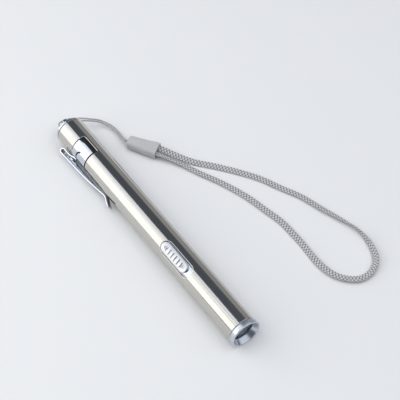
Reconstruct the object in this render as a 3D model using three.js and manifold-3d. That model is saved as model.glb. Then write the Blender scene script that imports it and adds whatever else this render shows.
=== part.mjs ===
// Stainless pocket penlight with a slide switch, a spring clip and a wrist lanyard.
// Millimetres, +Z up. The light lies along X with its lens towards +X, and the lanyard lies beside it.
// Inside the group "pen", x is the distance from the tail end and the axis of the barrel is z = 0.
// phi is an angle round that axis, from +Z towards -Y.

import * as THREE from 'three';
import { mergeVertices } from 'three/addons/utils/BufferGeometryUtils.js';
import Module from 'manifold-3d';

const wasm = await Module();
wasm.setup();

// ---- driving dimensions ----
const PEN_LENGTH = 131.1;
const BARREL_R = 6.5;
const WALL = 0.4;
const BORE_R = BARREL_R - WALL;
const BEZEL_R = 6.8;
const GAP = 0.3; // between pieces that are cut or that touch end to end
const SEGMENTS = 48; // facets round the barrel, the same on every round piece so that they nest

const FLANGE_R = 6.4; // end flange of the tail plug
const FLANGE_LENGTH = 1.0;
const PLUG_R = BORE_R - 0.1;
const PLUG_LENGTH = 7.2;
const SPRING_SEAT = 3.0;
const SPRING_SEAT_R = 3.7;
const RING_GROOVE = { start: 2.6, end: 4.0, r: 5.0 };

const EYE = { reach: 4.6, bar: 2.0, halfHeight: 2.6, thickness: 2.0, holeHalfHeight: 1.3 };

const LINER = { start: 7.5, end: 75, inner: 5.25, outer: 5.95 };
const CELL = { r: 5.1, length: 43.3, nubR: 1.9, nubLength: 1.2 };
const REAR_CELL_START = 9.6;
const FRONT_CELL_START = REAR_CELL_START + CELL.length + CELL.nubLength + GAP;

const SWITCH_PHI = THREE.MathUtils.degToRad(37);
const SWITCH_SLOT = { start: 78.3, end: 98.1, width: 6.1 };
const KNOB = { start: 78.6, length: 16.8, width: 4.6, inner: 5.98, outer: 6.95 };
const KNOB_MARK_DEPTH = 0.22;
const SHUTTER = { start: 75.4, end: 98.5, inner: 5.65, outer: 5.95 };
const SHUTTER_HALF_ANGLE = THREE.MathUtils.degToRad(36);
const LEG_SPACING = 8;
const LEG_SIZE = 1.0;
const LEG_FOOT = 5.55;
const LEAF = { low: 5.2, high: 5.45, width: 2.4 };
const WIPER = { start: 83.5, end: 90 };
const LEAD = { start: 93, end: 100.5 };

const CLIP_PHI = THREE.MathUtils.degToRad(120);
const CLIP_WIDTH = 3.6;
const CLIP_THICKNESS = 0.6;
const WINDOW = { start: 12.3, end: 22.8, halfAngle: THREE.MathUtils.degToRad(126) };
const SADDLE = { start: 12.6, end: 22.5, halfAngle: THREE.MathUtils.degToRad(105) };
const HAIRPIN = { x: 7.1, height: 8.3, r: 1.05 };
const FLANGE_PLATE = 0.5; // sheet of the clip's turned-in edges

const BEZEL_START = 128.7;
const LENS = { back: 126.6, edge: 127.8, front: 128.3, r: 5.1 };

// ---- materials ----
function material(color, roughness, metalness) {
	return new THREE.MeshStandardMaterial({ color, roughness, metalness });
}

const brushedSteel = material('#c9c5bf', 0.32, 1);
const polishedSteel = material('#dfe3e8', 0.12, 1);
const springSteel = material('#b9bcc0', 0.3, 1);
const brass = material('#c8a451', 0.3, 1);
const aluminium = material('#c4c6c8', 0.4, 1);
const blackPlastic = material('#17181b', 0.55, 0);
const rubber = material('#141414', 0.8, 0);
const cellSleeve = material('#2f5c46', 0.4, 0);
const circuitBoard = material('#1f5a3a', 0.6, 0);
const clearGlass = material('#e8eef2', 0.05, 0);
const emitterResin = material('#f2dc7a', 0.3, 0);
const silicone = material('#c9ccd0', 0.45, 0);
const greyBraid = material('#b4b6ba', 0.85, 0);

// ---- solids and cuts ----
function toSolid(geometry) {
	const bare = geometry.clone();
	bare.deleteAttribute('normal');
	bare.deleteAttribute('uv');
	const merged = mergeVertices(bare, 1e-4);
	return new wasm.Manifold(new wasm.Mesh({
		numProp: 3,
		vertProperties: new Float32Array(merged.attributes.position.array),
		triVerts: new Uint32Array(merged.index.array),
	}));
}

function toGeometry(solid) {
	const mesh = solid.getMesh();
	const geometry = new THREE.BufferGeometry();
	geometry.setAttribute('position', new THREE.BufferAttribute(new Float32Array(mesh.vertProperties), 3));
	geometry.setIndex(new THREE.BufferAttribute(new Uint32Array(mesh.triVerts), 1));
	return geometry;
}

function combine(base, joined, cuts) {
	let solid = toSolid(base);
	for (const geometry of joined) solid = solid.add(toSolid(geometry));
	for (const geometry of cuts) solid = solid.subtract(toSolid(geometry));
	return toGeometry(solid);
}

// ---- shapes ----
// A solid turned about the barrel's axis. Its outline lists [x, radius], anticlockwise with x up.
function turned(outline, segments = SEGMENTS) {
	const points = outline.map(([x, r]) => new THREE.Vector2(r, x));
	return new THREE.LatheGeometry(points, segments).rotateZ(-Math.PI / 2);
}

function turnedTube(start, end, inner, outer, segments = SEGMENTS) {
	return turned([[start, inner], [start, outer], [end, outer], [end, inner], [start, inner]], segments);
}

function turnedDisc(start, end, r, segments = SEGMENTS) {
	return turned([[start, 0], [start, r], [end, r], [end, 0]], segments);
}

function turnedRing(x, major, minor, sides) {
	const outline = [];
	for (let i = 0; i <= sides; i++) {
		const a = (i % sides) / sides * 2 * Math.PI;
		outline.push([x + minor * Math.sin(a), major + minor * Math.cos(a)]);
	}
	return turned(outline);
}

// Part of a tube wall, from phi - half to phi + half.
function sector(start, end, inner, outer, phi, half, steps = 60) {
	const shape = new THREE.Shape();
	for (let i = 0; i <= steps; i++) {
		const a = phi - half + 2 * half * i / steps;
		const point = [-outer * Math.sin(a), outer * Math.cos(a)];
		if (i === 0) shape.moveTo(...point);
		else shape.lineTo(...point);
	}
	for (let i = steps; i >= 0; i--) {
		const a = phi - half + 2 * half * i / steps;
		shape.lineTo(-inner * Math.sin(a), inner * Math.cos(a));
	}
	const geometry = new THREE.ExtrudeGeometry(shape, { depth: end - start, bevelEnabled: false });
	const axes = new THREE.Matrix4().set(0, 0, 1, start, 1, 0, 0, 0, 0, 1, 0, 0, 0, 0, 0, 1);
	return geometry.applyMatrix4(axes);
}

// A straight prism that stands on the barrel at phi: its outline is [x, across], low and high are radii.
function standing(shape, low, high, phi) {
	const geometry = new THREE.ExtrudeGeometry(shape, {
		depth: high - low,
		bevelEnabled: false,
		curveSegments: 12,
	});
	return geometry.translate(0, 0, low).rotateX(phi);
}

// A strip seen from its side: its outline is [x, radius], and it is width wide, centred at across.
function sideways(shape, width, phi, across = 0) {
	const geometry = new THREE.ExtrudeGeometry(shape, { depth: width, bevelEnabled: false });
	return geometry.rotateX(Math.PI / 2).translate(0, across + width / 2, 0).rotateX(phi);
}

function outlineShape(points) {
	return new THREE.Shape(points.map(([x, y]) => new THREE.Vector2(x, y)));
}

function rectangle(x, y, width, height) {
	return outlineShape([
		[x - width / 2, y - height / 2],
		[x + width / 2, y - height / 2],
		[x + width / 2, y + height / 2],
		[x - width / 2, y + height / 2],
	]);
}

function racetrack(start, end, width) {
	const r = width / 2;
	const shape = new THREE.Shape();
	shape.moveTo(start + r, -r);
	shape.lineTo(end - r, -r);
	shape.absarc(end - r, 0, r, -Math.PI / 2, Math.PI / 2, false);
	shape.lineTo(start + r, r);
	shape.absarc(start + r, 0, r, Math.PI / 2, 3 * Math.PI / 2, false);
	return shape;
}

// The outline of a strip of even thickness that follows points.
function stripShape(points, thickness) {
	const upper = [];
	const lower = [];
	points.forEach((point, i) => {
		const before = points[Math.max(i - 1, 0)];
		const after = points[Math.min(i + 1, points.length - 1)];
		const dx = after[0] - before[0];
		const dy = after[1] - before[1];
		const scale = thickness / 2 / Math.hypot(dx, dy);
		upper.push([point[0] - dy * scale, point[1] + dx * scale]);
		lower.push([point[0] + dy * scale, point[1] - dx * scale]);
	});
	return outlineShape([...lower, ...upper.reverse()]);
}

// A cord's solid: one smooth tube along points, oval in section.
function cordTube(points, halfWidth, halfHeight, sides, steps) {
	const path = new THREE.CatmullRomCurve3(points.map((p) => new THREE.Vector3(...p)), false, 'centripetal');
	const section = new THREE.Shape();
	for (let i = 0; i < sides; i++) {
		const a = (i + 0.5) / sides * 2 * Math.PI;
		const point = [halfHeight * Math.cos(a), halfWidth * Math.sin(a)];
		if (i === 0) section.moveTo(...point);
		else section.lineTo(...point);
	}
	section.closePath();
	return new THREE.ExtrudeGeometry(section, { steps, extrudePath: path, bevelEnabled: false });
}

function named(name, geometry, finish) {
	const mesh = new THREE.Mesh(geometry, finish);
	mesh.name = name;
	return mesh;
}

// ---- barrel ----
function makeBarrelTube() {
	const tube = turnedTube(FLANGE_LENGTH + GAP, BEZEL_START - GAP, BORE_R, BARREL_R);
	const clipWindow = sector(WINDOW.start, WINDOW.end, BORE_R - 1, BARREL_R + 1, CLIP_PHI, WINDOW.halfAngle);
	const slotShape = racetrack(SWITCH_SLOT.start, SWITCH_SLOT.end, SWITCH_SLOT.width);
	const slot = standing(slotShape, BORE_R - 1.5, BARREL_R + 1, SWITCH_PHI);
	return named('barrel_tube', combine(tube, [], [clipWindow, slot]), brushedSteel);
}

function makeBatteryLiner() {
	return named('battery_liner', turnedTube(LINER.start, LINER.end, LINER.inner, LINER.outer), blackPlastic);
}

function makeCell(name, start) {
	const shoulder = start + CELL.length;
	const tip = shoulder + CELL.nubLength;
	const outline = [
		[start, 0],
		[start, CELL.r - 0.3],
		[start + 0.3, CELL.r],
		[shoulder - 0.3, CELL.r],
		[shoulder, CELL.r - 0.3],
		[shoulder, CELL.nubR],
		[tip, CELL.nubR],
		[tip, 0],
	];
	return named(name, turned(outline, 24), cellSleeve);
}

// ---- tail ----
function makeTailPlug() {
	const body = turned([
		[0, 0],
		[0, FLANGE_R - 0.25],
		[0.25, FLANGE_R],
		[FLANGE_LENGTH, FLANGE_R],
		[FLANGE_LENGTH, PLUG_R],
		[RING_GROOVE.start, PLUG_R],
		[RING_GROOVE.start, RING_GROOVE.r],
		[RING_GROOVE.end, RING_GROOVE.r],
		[RING_GROOVE.end, PLUG_R],
		[PLUG_LENGTH, PLUG_R],
		[PLUG_LENGTH, SPRING_SEAT_R],
		[SPRING_SEAT, SPRING_SEAT_R],
		[SPRING_SEAT, 0],
	]);
	const eyeOutline = new THREE.Shape();
	const corner = 1.4;
	eyeOutline.moveTo(FLANGE_LENGTH / 2, -EYE.halfHeight);
	eyeOutline.lineTo(FLANGE_LENGTH / 2, EYE.halfHeight);
	eyeOutline.lineTo(-EYE.reach + corner, EYE.halfHeight);
	eyeOutline.absarc(-EYE.reach + corner, EYE.halfHeight - corner, corner, Math.PI / 2, Math.PI, false);
	eyeOutline.absarc(-EYE.reach + corner, corner - EYE.halfHeight, corner, Math.PI, 3 * Math.PI / 2, false);
	const holeShape = rectangle(
		(EYE.bar - EYE.reach - 0.4) / 2, 0, EYE.reach - EYE.bar - 0.4, 2 * EYE.holeHalfHeight,
	);
	const eye = sideways(eyeOutline, EYE.thickness, 0);
	const hole = sideways(holeShape, EYE.thickness + 2, 0);
	return named('tail_plug', combine(body, [eye], [hole]), polishedSteel);
}

function makeTailRing() {
	const x = (RING_GROOVE.start + RING_GROOVE.end) / 2;
	return named('tail_seal_ring', turnedRing(x, 5.5, 0.42, 6), rubber);
}

function makeBatterySpring() {
	const turns = 4;
	const stepsPerTurn = 10;
	const wire = 0.3;
	const start = SPRING_SEAT + GAP + wire;
	const end = REAR_CELL_START - GAP - wire;
	const points = [];
	for (let i = 0; i <= turns * stepsPerTurn; i++) {
		const t = i / (turns * stepsPerTurn);
		const r = 3.0 - 1.0 * t;
		const a = t * turns * 2 * Math.PI;
		points.push([start + (end - start) * t, r * Math.cos(a), r * Math.sin(a)]);
	}
	return named('battery_spring', cordTube(points, wire, wire, 8, turns * stepsPerTurn), springSteel);
}

// ---- clip ----
function makeClipSaddle() {
	const band = sector(SADDLE.start, SADDLE.end, BORE_R, BARREL_R, CLIP_PHI, SADDLE.halfAngle, 50);
	const root = stripShape([
		[16.4, BARREL_R - 0.2],
		[14.6, BARREL_R + 0.1],
		[13.2, HAIRPIN.height - HAIRPIN.r - 0.25],
		[11.6, HAIRPIN.height - HAIRPIN.r],
		[HAIRPIN.x + GAP + 0.3, HAIRPIN.height - HAIRPIN.r],
	], CLIP_THICKNESS);
	return named('clip_saddle', combine(band, [sideways(root, CLIP_WIDTH, CLIP_PHI)], []), polishedSteel);
}

function makeClipArm() {
	const centreline = [];
	const arcSteps = 8;
	for (let i = 0; i <= arcSteps; i++) {
		const a = -Math.PI / 2 - Math.PI * i / arcSteps;
		centreline.push([
			HAIRPIN.x + HAIRPIN.r * Math.cos(a),
			HAIRPIN.height + HAIRPIN.r * Math.sin(a),
		]);
	}
	centreline.push(
		[14.6, 9.1], [20, 8.85], [26.8, 8.46], [33, 7.8], [37.2, 7.32], [39, 7.2],
		[40.2, 7.3], [41.2, 7.7], [44.5, 9.1],
	);
	const strip = sideways(stripShape(centreline, CLIP_THICKNESS), CLIP_WIDTH, CLIP_PHI);
	const edgeShape = outlineShape([
		[9.4, 8.9], [9.6, 8.1], [10.1, 7.85], [20, 7.85], [31.8, 7.6], [31.8, 7.9],
		[26.8, 8.4], [20, 8.8], [14.6, 9.05], [9.4, 9.3],
	]);
	const across = (CLIP_WIDTH - FLANGE_PLATE) / 2;
	const edges = [across, -across].map((y) => sideways(edgeShape, FLANGE_PLATE, CLIP_PHI, y));
	return named('clip_arm', combine(strip, edges, []), polishedSteel);
}

// ---- switch ----
function knobTriangle(base, tip) {
	return outlineShape([[base, -0.7], [tip, 0], [base, 0.7]].sort((a, b) => (tip > base ? 1 : -1) * (a[1] - b[1])));
}

function makeSwitchKnob() {
	const outline = racetrack(KNOB.start, KNOB.start + KNOB.length, KNOB.width);
	const prism = toSolid(standing(outline, KNOB.inner - 1, KNOB.outer + 1, SWITCH_PHI));
	const curve = toSolid(turnedTube(KNOB.start - 1, KNOB.start + KNOB.length + 1, KNOB.inner, KNOB.outer, 2 * SEGMENTS));
	const middle = KNOB.start + KNOB.length / 2;
	let knob = prism.intersect(curve);
	for (const side of [-1, 1]) {
		const leg = rectangle(middle + side * LEG_SPACING / 2, 0, LEG_SIZE, LEG_SIZE);
		knob = knob.add(toSolid(standing(leg, LEG_FOOT, KNOB.inner + 0.4, SWITCH_PHI)));
	}
	const marks = [-3, -1, 1, 3].map((i) => rectangle(middle + i, 0, 0.4, 2.5));
	marks.push(knobTriangle(middle - 4.8, middle - 6.2), knobTriangle(middle + 4.8, middle + 6.2));
	for (const mark of marks) {
		const groove = standing(mark, KNOB.outer - KNOB_MARK_DEPTH - 0.1, KNOB.outer + 1, SWITCH_PHI);
		knob = knob.subtract(toSolid(groove));
	}
	return named('switch_knob', toGeometry(knob), brushedSteel);
}

function makeSwitchShutter() {
	const plate = sector(SHUTTER.start, SHUTTER.end, SHUTTER.inner, SHUTTER.outer, SWITCH_PHI, SHUTTER_HALF_ANGLE, 20);
	const middle = KNOB.start + KNOB.length / 2;
	const holes = [-1, 1].map((side) => {
		const size = LEG_SIZE + 2 * GAP;
		const outline = rectangle(middle + side * LEG_SPACING / 2, 0, size, size);
		return standing(outline, SHUTTER.inner - 1, SHUTTER.outer + 1, SWITCH_PHI);
	});
	return named('switch_shutter', combine(plate, [], holes), polishedSteel);
}

function makeLeaf(name, span) {
	const outline = rectangle((span.start + span.end) / 2, 0, span.end - span.start, LEAF.width);
	return named(name, standing(outline, LEAF.low, LEAF.high, SWITCH_PHI), brass);
}

// ---- light engine ----
function makePositiveContact() {
	const outline = [[99.2, 0], [99.2, 2.4], [100.5, 2.4], [100.5, 1.1], [104.5, 1.1], [104.5, 0]];
	return named('positive_contact', turned(outline, 24), brass);
}

function makeFrontInsulator() {
	return named('front_insulator', turnedTube(100.8, 102.3, 1.4, 5.5), blackPlastic);
}

function makeLedHousing() {
	return named('led_housing', turnedTube(102.6, 113, 2.7, BORE_R - 0.1), aluminium);
}

function makeDriverBoard() {
	const board = new THREE.BoxGeometry(7, 4.4, 0.8).translate(108.6, 0, 0);
	return named('driver_board', board, circuitBoard);
}

function makeLedBoard() {
	return named('led_board', turnedDisc(113.3, 114.3, 5.3), circuitBoard);
}

function makeLedEmitter() {
	const outline = [[114.6, 0], [114.6, 1.5], [115.2, 1.5]];
	const steps = 4;
	for (let i = 0; i <= steps; i++) {
		const a = i / steps * Math.PI / 2;
		outline.push([115.3 + 1.2 * Math.sin(a), i === steps ? 0 : 1.2 * Math.cos(a)]);
	}
	return named('led_emitter', turned(outline, 24), emitterResin);
}

function makeReflector() {
	const start = 115.6;
	const end = 125.6;
	const wall = 0.45;
	const inside = [];
	const steps = 5;
	for (let i = 0; i <= steps; i++) {
		const x = start + (end - start) * i / steps;
		inside.push([x, 1.7 + 3.0 * Math.sqrt(i / steps)]);
	}
	const outside = inside.map(([x, r]) => [x, r + wall]);
	return named('reflector', turned([inside[0], ...outside, ...inside.reverse()]), polishedSteel);
}

function makeLens() {
	const outline = [[LENS.back, 0], [LENS.back, LENS.r], [LENS.edge, LENS.r]];
	const steps = 4;
	for (let i = 0; i <= steps; i++) {
		const r = 4.6 * (1 - i / steps);
		outline.push([LENS.edge + 0.1 + (LENS.front - LENS.edge) * (1 - (r / 4.6) ** 2), r]);
	}
	return named('lens', turned(outline), clearGlass);
}

function makeLensRing() {
	return named('lens_seal_ring', turnedRing(126.2, 4.7, 0.25, 6), rubber);
}

function makeBezelRing() {
	const outline = [
		[124.6, 5.3],
		[124.6, BORE_R - 0.1],
		[128.6, BORE_R - 0.1],
		[BEZEL_START, 6.65],
		[BEZEL_START + 0.15, BEZEL_R],
		[PEN_LENGTH - 0.2, BEZEL_R],
		[PEN_LENGTH, BEZEL_R - 0.2],
		[PEN_LENGTH, 5.8],
		[PEN_LENGTH - 0.1, 5.7],
		[128.9, 4.95],
		[128.7, 4.8],
		[128.2, 4.8],
		[128.2, 5.3],
		[124.6, 5.3],
	];
	return named('bezel_ring', turned(outline), polishedSteel);
}

// ---- lanyard ----
// Routes are points on each cord's centreline, in the frame of the whole object.
const STRING_ROUTE = [
	[-44.1, 20.0, 2.7], [-45.6, 19.2, 2.7], [-47.2, 18.9, 2.4], [-49.2, 19.1, 2.0], [-51.7, 19.4, 1.7],
	[-54.7, 19.3, 1.6], [-57.4, 18.7, 1.8], [-59.8, 17.2, 2.5], [-61.6, 15.4, 3.4], [-63.3, 12.3, 4.5],
	[-64.7, 8.9, 5.5], [-65.1, 5.5, 6.3], [-65.2, 3.0, 6.7], [-65.2, 1.4, 6.8], [-65.2, 0.2, 6.8],
	[-65.7, -1.0, 6.8], [-66.85, -1.45, 6.8], [-68.0, -1.0, 6.8], [-68.5, 0.2, 6.8], [-68.5, 1.4, 6.8],
	[-68.4, 3.0, 6.8], [-67.6, 5.6, 6.4], [-66.0, 9.3, 5.7], [-64.1, 12.8, 4.7], [-62.4, 15.9, 3.6],
	[-60.4, 17.9, 2.7], [-57.6, 19.6, 2.0], [-54.7, 20.2, 1.8], [-51.7, 20.3, 1.8], [-49.0, 20.0, 2.1],
	[-47.3, 20.0, 2.4], [-46.0, 20.0, 2.7], [-44.7, 20.8, 2.7],
];
const STRAP_ROUTE = [
	[-35.2, 28.2, 2.7], [-33.5, 29.3, 2.7], [-31.2, 30.7, 2.4], [-27.9, 32.8, 1.6], [-23.7, 35.4, 1.0],
	[-19.5, 38.1, 0.8], [-11.6, 44.8, 0.7], [-3.2, 51.2, 0.7], [5.0, 56.5, 0.7], [14.2, 60.7, 0.7],
	[23.0, 65.0, 0.7], [33.3, 68.1, 0.9], [43.1, 71.3, 1.2], [49.9, 73.1, 1.4], [55.9, 73.2, 1.5],
	[61.7, 72.2, 1.5], [66.7, 70.2, 1.5], [69.9, 66.9, 1.5], [71.5, 62.8, 1.5], [71.2, 58.1, 1.5],
	[68.9, 54.5, 1.5], [64.9, 51.3, 1.4], [59.7, 49.5, 1.2], [54.3, 49.0, 1.0], [48.5, 49.2, 0.8],
	[42.4, 49.7, 0.7], [35.3, 49.8, 0.7], [28.5, 49.6, 0.7], [20.0, 47.9, 0.7], [11.3, 46.1, 0.7],
	[1.9, 43.2, 0.7], [-5.4, 40.3, 0.7], [-12.3, 37.0, 0.8], [-19.5, 33.9, 1.0], [-26.1, 30.3, 1.7],
	[-29.7, 27.9, 2.4], [-31.7, 26.6, 2.7], [-33.4, 25.5, 2.7],
];
const STRING_R = 0.35;
const STRAP = { halfWidth: 1.2, halfHeight: 0.55 };
const BEAD = { start: [-45.7, 19.6], end: [-32.6, 27.9], height: 2.7, halfHeight: 2.65 };

function makeString() {
	return named('lanyard_string', cordTube(STRING_ROUTE, STRING_R, STRING_R, 8, 56), greyBraid);
}

function makeStrap() {
	return named('lanyard_strap', cordTube(STRAP_ROUTE, STRAP.halfWidth, STRAP.halfHeight, 8, 80), greyBraid);
}

// A soft sleeve: round at the string's end, wider and cut square at the strap's end.
function makeBead() {
	const dx = BEAD.end[0] - BEAD.start[0];
	const dy = BEAD.end[1] - BEAD.start[1];
	const length = Math.hypot(dx, dy);
	const outline = [[0, 0]];
	const steps = 6;
	for (let i = 0; i <= steps; i++) {
		const a = i / steps * Math.PI / 2;
		outline.push([1.8 * (1 - Math.cos(a)), BEAD.halfHeight - 1.8 + 1.8 * Math.sin(a)]);
	}
	outline.push([length, BEAD.halfHeight], [length, 0]);
	const body = turned(outline, 24);
	const position = body.attributes.position;
	for (let i = 0; i < position.count; i++) {
		const widening = 1.12 + 0.26 * position.getX(i) / length;
		position.setY(i, position.getY(i) * widening);
	}
	const stringHole = turnedDisc(-1, 2.4, 1.25, 12);
	const strapSlot = new THREE.BoxGeometry(5.4, 6.2, 1.9).translate(length, 0, 0);
	const bead = combine(body, [], [stringHole, strapSlot]);
	bead.rotateZ(Math.atan2(dy, dx)).translate(BEAD.start[0], BEAD.start[1], BEAD.height);
	return named('lanyard_bead', bead, silicone);
}

// ---- the whole object ----
const pen = new THREE.Group();
pen.add(
	makeBarrelTube(),
	makeBatteryLiner(),
	makeCell('battery_cell_rear', REAR_CELL_START),
	makeCell('battery_cell_front', FRONT_CELL_START),
	makeTailPlug(),
	makeTailRing(),
	makeBatterySpring(),
	makeClipSaddle(),
	makeClipArm(),
	makeSwitchKnob(),
	makeSwitchShutter(),
	makeLeaf('switch_wiper', WIPER),
	makeLeaf('lead_strip', LEAD),
	makePositiveContact(),
	makeFrontInsulator(),
	makeLedHousing(),
	makeDriverBoard(),
	makeLedBoard(),
	makeLedEmitter(),
	makeReflector(),
	makeLens(),
	makeLensRing(),
	makeBezelRing(),
);

// The light lies on the ground with its bounding box centred over the origin.
const box = new THREE.Box3().setFromObject(pen);
pen.position.set(-(box.min.x + box.max.x) / 2, -(box.min.y + box.max.y) / 2, -box.min.z);

const penlight = new THREE.Group();
penlight.add(pen, makeString(), makeBead(), makeStrap());

export default penlight;
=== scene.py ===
import math

import bmesh
import bpy
import numpy as np
from mathutils import Matrix, Vector
from mathutils.geometry import delaunay_2d_cdt


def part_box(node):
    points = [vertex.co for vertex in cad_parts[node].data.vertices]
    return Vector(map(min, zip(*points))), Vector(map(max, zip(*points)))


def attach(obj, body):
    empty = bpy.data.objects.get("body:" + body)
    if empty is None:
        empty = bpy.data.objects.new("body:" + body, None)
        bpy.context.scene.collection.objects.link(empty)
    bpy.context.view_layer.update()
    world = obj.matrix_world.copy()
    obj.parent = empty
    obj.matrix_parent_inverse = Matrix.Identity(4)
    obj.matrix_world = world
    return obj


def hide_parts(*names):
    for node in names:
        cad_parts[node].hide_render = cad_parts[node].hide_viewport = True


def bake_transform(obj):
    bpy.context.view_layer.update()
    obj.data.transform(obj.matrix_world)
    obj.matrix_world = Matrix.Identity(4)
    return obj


bl_info = {
    "name": "Pocket penlight",
    "version": (1, 0, 0),
    "blender": (4, 5, 0),
    "location": "View3D > Sidebar > Penlight",
    "description": "Builds a stainless pocket penlight with a slide switch, clip and wrist lanyard",
    "category": "Object",
}

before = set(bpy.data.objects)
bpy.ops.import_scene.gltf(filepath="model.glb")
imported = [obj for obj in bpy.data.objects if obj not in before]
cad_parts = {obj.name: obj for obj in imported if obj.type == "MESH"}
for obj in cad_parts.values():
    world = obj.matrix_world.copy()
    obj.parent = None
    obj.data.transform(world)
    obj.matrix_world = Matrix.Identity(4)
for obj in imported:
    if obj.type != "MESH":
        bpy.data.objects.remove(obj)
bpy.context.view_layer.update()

# ---- where the light lies, from the frame ----
MM = 0.001
PEN_LENGTH = 131.1
BARREL_LOW, BARREL_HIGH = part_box("barrel_tube")
AXIS_Y = (BARREL_LOW.y + BARREL_HIGH.y) / 2
AXIS_Z = (BARREL_LOW.z + BARREL_HIGH.z) / 2
TAIL_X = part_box("bezel_ring")[1].x - PEN_LENGTH * MM

# ---- sizes in millimetres: s runs from the tail end, phi from +Z towards -Y ----
BARREL_R = 6.5
BORE_R = 6.1
BARREL_ENDS = (1.3, 128.4)
SWITCH_PHI = math.radians(37)
CLIP_PHI = math.radians(120)
SLOT = {"start": 78.3, "end": 98.1, "width": 6.1}
KNOB = {"start": 78.6, "end": 95.4, "width": 4.9, "inner": 5.98, "outer": 6.95}
WINDOW = {"start": 12.3, "end": 22.8, "low": math.radians(-6), "high": math.radians(246)}
SADDLE = {"start": 12.6, "end": 22.3}
HAIRPIN = {"s": 7.1, "height": 8.3, "r": 1.05}
CLIP_THICKNESS = 0.6
CLIP_WIDTH = 3.6

STRING_ROUTE = [
    (-44.1, 20.0, 2.7), (-45.6, 19.2, 2.7), (-47.2, 18.9, 2.4), (-49.2, 19.1, 2.0), (-51.7, 19.4, 1.7),
    (-54.7, 19.3, 1.6), (-57.4, 18.7, 1.8), (-59.8, 17.2, 2.5), (-61.6, 15.4, 3.4), (-63.3, 12.3, 4.5),
    (-64.7, 8.9, 5.5), (-65.1, 5.5, 6.3), (-65.2, 3.0, 6.7), (-65.2, 1.4, 6.8), (-65.2, 0.2, 6.8),
    (-65.7, -1.0, 6.8), (-66.85, -1.45, 6.8), (-68.0, -1.0, 6.8), (-68.5, 0.2, 6.8), (-68.5, 1.4, 6.8),
    (-68.4, 3.0, 6.8), (-67.6, 5.6, 6.4), (-66.0, 9.3, 5.7), (-64.1, 12.8, 4.7), (-62.4, 15.9, 3.6),
    (-60.4, 17.9, 2.7), (-57.6, 19.6, 2.0), (-54.7, 20.2, 1.8), (-51.7, 20.3, 1.8), (-49.0, 20.0, 2.1),
    (-47.3, 20.0, 2.4), (-46.0, 20.0, 2.7), (-44.7, 20.8, 2.7),
]
# Each point of the strap's route, and how far its left edge is turned up there, in degrees. The strap
# leaves the sleeve flat, turns half over before the far bend and comes back flat on its other face.
STRAP_ROUTE = [
    (-35.2, 28.2, 2.7, 5), (-33.5, 29.3, 2.7, 10), (-31.2, 30.7, 2.4, 15), (-27.9, 32.8, 1.6, 18),
    (-23.7, 35.4, 1.0, 18), (-19.5, 38.1, 0.8, 15), (-11.6, 44.8, 0.7, 10), (-3.2, 51.2, 0.7, 5),
    (5.0, 56.5, 0.7, 0), (14.2, 60.7, 0.7, -5), (23.0, 65.0, 0.7, -10), (33.3, 68.1, 0.9, -20),
    (43.1, 71.3, 1.2, -40), (49.9, 73.1, 1.4, -70), (55.9, 73.2, 1.5, -100), (61.7, 72.2, 1.5, -130),
    (66.7, 70.2, 1.5, -150), (69.9, 66.9, 1.5, -165), (71.5, 62.8, 1.5, -170), (71.2, 58.1, 1.5, -175),
    (68.9, 54.5, 1.5, -175), (64.9, 51.3, 1.4, -175), (59.7, 49.5, 1.2, -185), (54.3, 49.0, 1.0, -195),
    (48.5, 49.2, 0.8, -205), (42.4, 49.7, 0.7, -200), (35.3, 49.8, 0.7, -190), (28.5, 49.6, 0.7, -185),
    (20.0, 47.9, 0.7, -180), (11.3, 46.1, 0.7, -180), (1.9, 43.2, 0.7, -175), (-5.4, 40.3, 0.7, -170),
    (-12.3, 37.0, 0.8, -165), (-19.5, 33.9, 1.0, -160), (-26.1, 30.3, 1.7, -150), (-29.7, 27.9, 2.4, -150),
    (-31.7, 26.6, 2.7, -160), (-33.4, 25.5, 2.7, -170),
]
SLEEVE = {"start": (-45.0, 20.0), "end": (-32.6, 27.9), "height": 2.7}

CAMERA = {
    "lens": 119.85, "sensor": 36.0, "clip": (0.01, 20.0), "place": (0.27907, -0.17877, 0.45994),
    "right": (0.585, 0.811, 0.009), "ahead": (-0.486, 0.359, -0.797),
}


# ---- colours and nodes ----
def linear(hex_colour):
    """An sRGB colour in hex digits, as the linear values a shader takes."""
    channels = [int(hex_colour[i:i + 2], 16) / 255 for i in (1, 3, 5)]
    return tuple(c / 12.92 if c <= 0.04045 else ((c + 0.055) / 1.055) ** 2.4 for c in channels)


def add(tree, kind, inputs=None, **settings):
    """Adds a node, with its settings, and its inputs as values or as sockets to link."""
    node = tree.nodes.new(kind)
    for key, value in settings.items():
        setattr(node, key, value)
    for key, value in (inputs or {}).items():
        if isinstance(value, bpy.types.NodeSocket):
            tree.links.new(value, node.inputs[key])
        elif value is not None:
            node.inputs[key].default_value = value
    return node


def new_material(name, **values):
    """A material with one Principled shader, which carries the values that are the same all over."""
    material = bpy.data.materials.new(name)
    material.use_nodes = True
    tree = material.node_tree
    shader = tree.nodes["Principled BSDF"]
    for key, value in values.items():
        socket = shader.inputs[key.replace("_", " ")]
        if isinstance(value, str):
            value = (*linear(value), 1.0)
        elif isinstance(value, (tuple, list)) and len(value) == 3 and socket.type == "RGBA":
            value = (*value, 1.0)
        socket.default_value = value
    return material, tree, shader


def object_noise(tree, scale, detail=2.0, roughness=0.5):
    """Noise over the object's own coordinates; three scales stretch it along the axes."""
    place = add(tree, "ShaderNodeTexCoord").outputs["Object"]
    if isinstance(scale, tuple):
        place = add(tree, "ShaderNodeMapping", {"Vector": place, "Scale": scale}).outputs[0]
        scale = 1.0
    return add(tree, "ShaderNodeTexNoise", {
        "Vector": place, "Scale": scale, "Detail": detail, "Roughness": roughness,
    }).outputs[0]


def mapped(tree, value, start, end, low, high):
    """Goes from low to high while the value goes from start to end."""
    return add(tree, "ShaderNodeMapRange", {
        "Value": value, "From Min": start, "From Max": end, "To Min": low, "To Max": high,
    }).outputs[0]


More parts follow.
